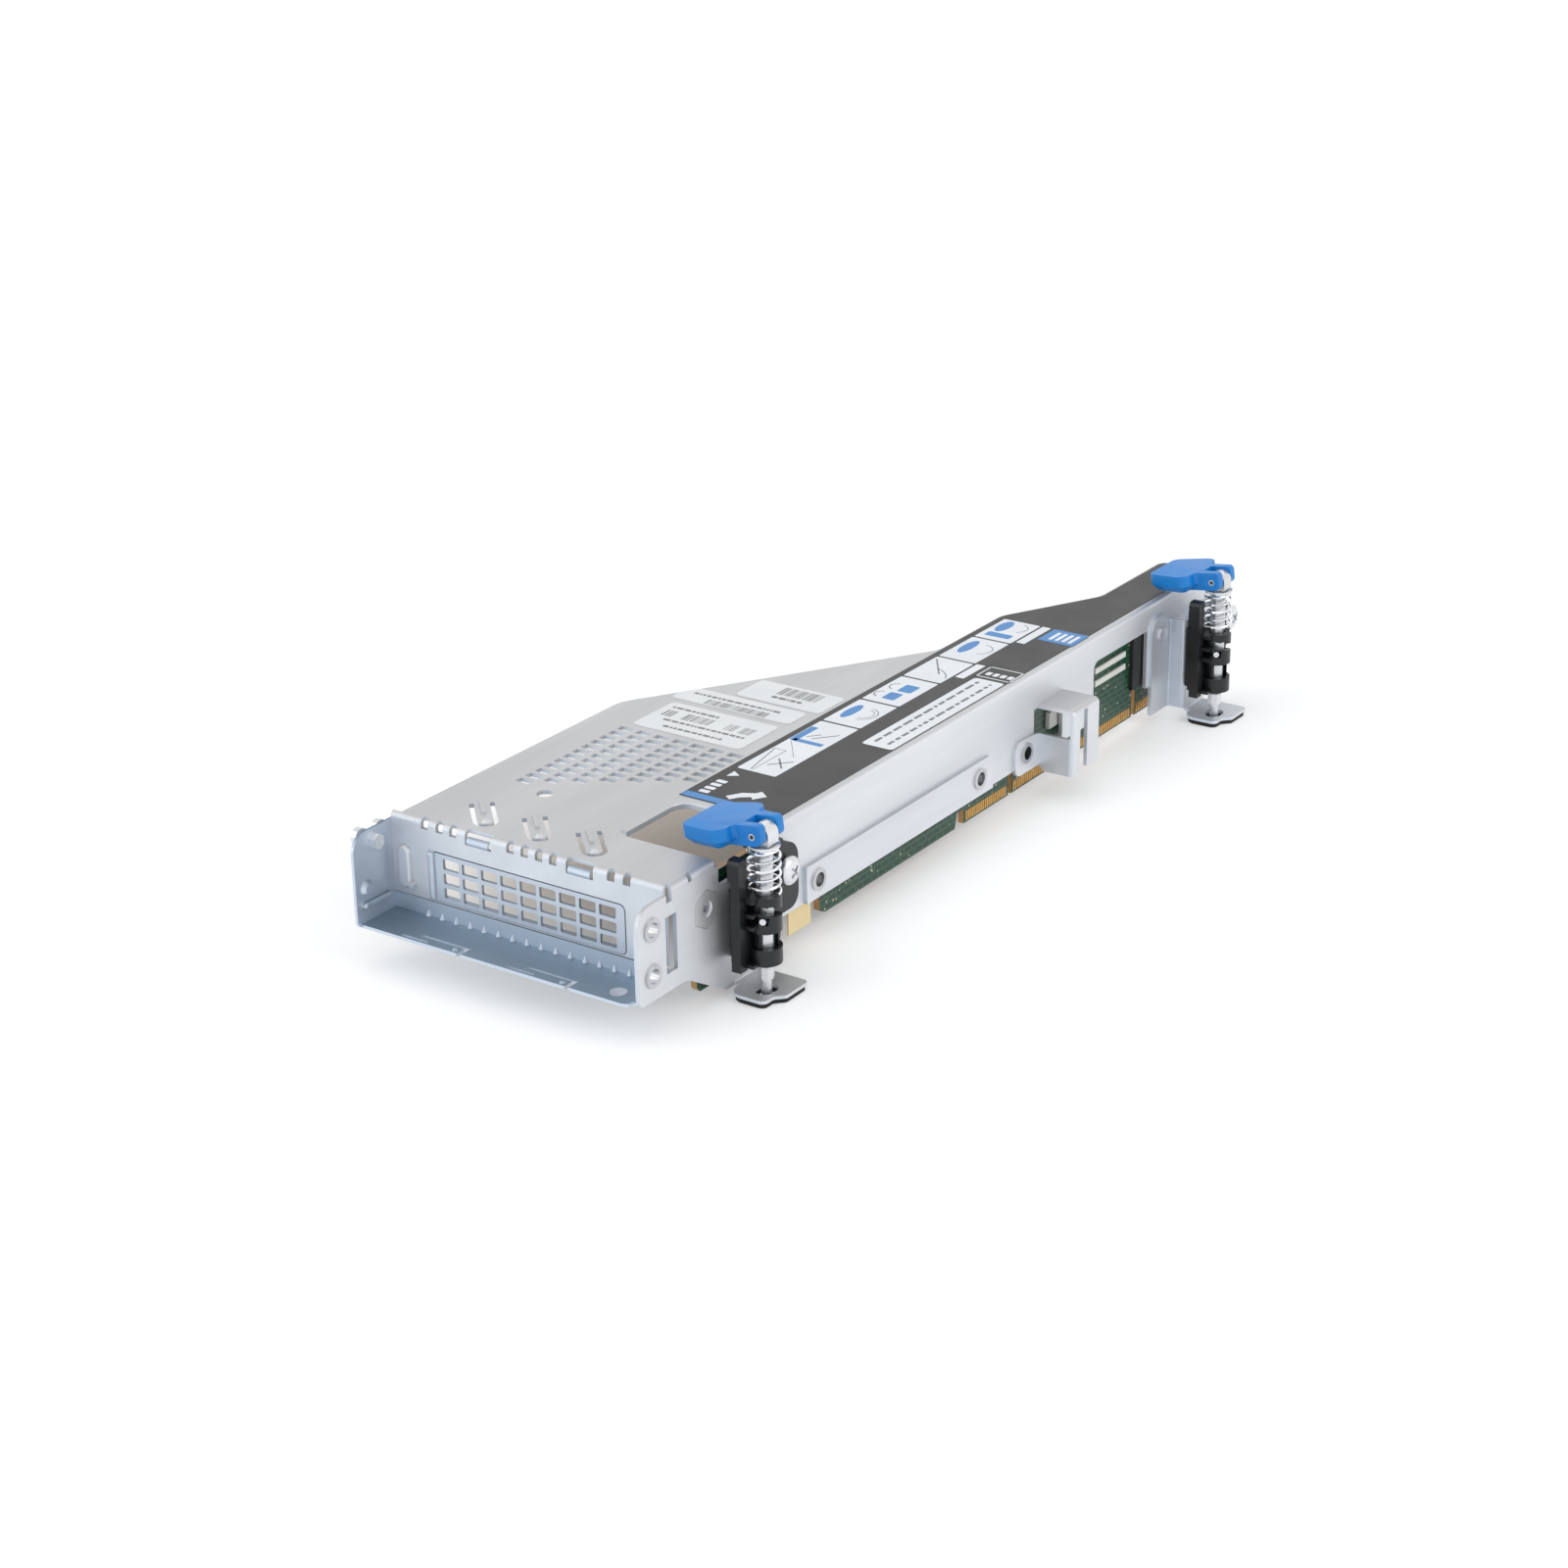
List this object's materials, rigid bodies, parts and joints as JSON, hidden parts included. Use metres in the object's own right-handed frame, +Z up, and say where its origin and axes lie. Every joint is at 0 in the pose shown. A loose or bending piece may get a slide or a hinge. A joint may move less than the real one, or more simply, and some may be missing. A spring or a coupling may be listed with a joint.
{
  "type": "riser cage bracket",
  "caption": "Folded sheet-metal riser cage with a vertical circuit board, vented slot cover and sprung turn latches with blue flip handles.",
  "frame": {"origin": "centre of the bounding box's bottom face", "axes": "+X across the cage from the left ear to the latches, +Y along the cage away from the input/output end, +Z up"},
  "size_m": [0.101, 0.265, 0.0437],
  "materials": {
    "zinc_sheet": "zinc plated, satin",
    "bright_sheet": "bright",
    "steel": "satin",
    "spring_wire": "bright",
    "pad_rubber": "matt",
    "board": "solder mask, semi-gloss",
    "gold": "gold plated",
    "black_plastic": "moulded, satin",
    "pale_plastic": "matt",
    "amber_film": "film, semi-gloss",
    "label_film": "printed film, satin",
    "sticker_paper": "matt",
    "blue_plastic": "moulded, satin"
  },
  "bodies": {
    "cage": {"main_cage": "zinc_sheet", "io_frame": "zinc_sheet", "side_strip": "zinc_sheet", "far_bracket": "zinc_sheet", "slot_cover": "bright_sheet", "gasket_clips": "bright_sheet", "foot_pads": "pad_rubber", "riser_board": "board", "edge_contacts": "gold", "slot_connector": "black_plastic", "board_header": "black_plastic", "board_parts": "pale_plastic", "insulator_tab": "amber_film", "label": "label_film", "stickers": "sticker_paper", "wall_nuts": "steel", "strip_nuts": "steel", "hook_nut": "steel", "hex_insert": "steel", "hex_stud": "steel", "ear_screw": "steel", "ear_studs": "steel", "ear_rivet": "steel", "shelf_disc": "steel", "boss_rivet": "steel", "board_screws": "steel", "carrier_screws": "steel", "near_carrier": "black_plastic", "near_spring": "spring_wire", "far_carrier": "black_plastic", "far_spring": "spring_wire"},
    "near_seat": {"near_washer": "steel"},
    "near_turner": {"near_shaft": "steel", "near_cross_pin": "steel"},
    "near_flip": {"near_handle": "blue_plastic", "near_handle_pin": "steel"},
    "far_seat": {"far_washer": "steel"},
    "far_turner": {"far_shaft": "steel", "far_cross_pin": "steel"},
    "far_flip": {"far_handle": "blue_plastic", "far_handle_pin": "steel"}
  },
  "joints": [
    {"name": "near_lift", "type": "slide", "parent": "cage", "child": "near_seat", "axis": [0, 0, 1], "range_m": [0, 0.0024], "deforming": ["near_spring"]},
    {"name": "near_turn", "type": "hinge", "parent": "near_seat", "child": "near_turner", "pos_m": [0.039, -0.0941, 0.02], "axis": [0, 0, -1], "range_deg": [0, 180]},
    {"name": "near_handle_flip", "type": "hinge", "parent": "near_turner", "child": "near_flip", "pos_m": [0.039, -0.0941, 0.0409], "axis": [0, 1, 0], "range_deg": [0, 98]},
    {"name": "far_lift", "type": "slide", "parent": "cage", "child": "far_seat", "axis": [0, 0, 1], "range_m": [0, 0.0024], "deforming": ["far_spring"]},
    {"name": "far_turn", "type": "hinge", "parent": "far_seat", "child": "far_turner", "pos_m": [0.0449, 0.1118, 0.02], "axis": [0, 0, -1], "range_deg": [0, 180]},
    {"name": "far_handle_flip", "type": "hinge", "parent": "far_turner", "child": "far_flip", "pos_m": [0.0449, 0.1118, 0.0409], "axis": [0, 1, 0], "range_deg": [0, 98]}
  ],
  "couplings": [
    {"joint": "near_turn", "follows": "near_lift", "rad_per_m": 1309},
    {"joint": "far_turn", "follows": "far_lift", "rad_per_m": 1309}
  ]
}
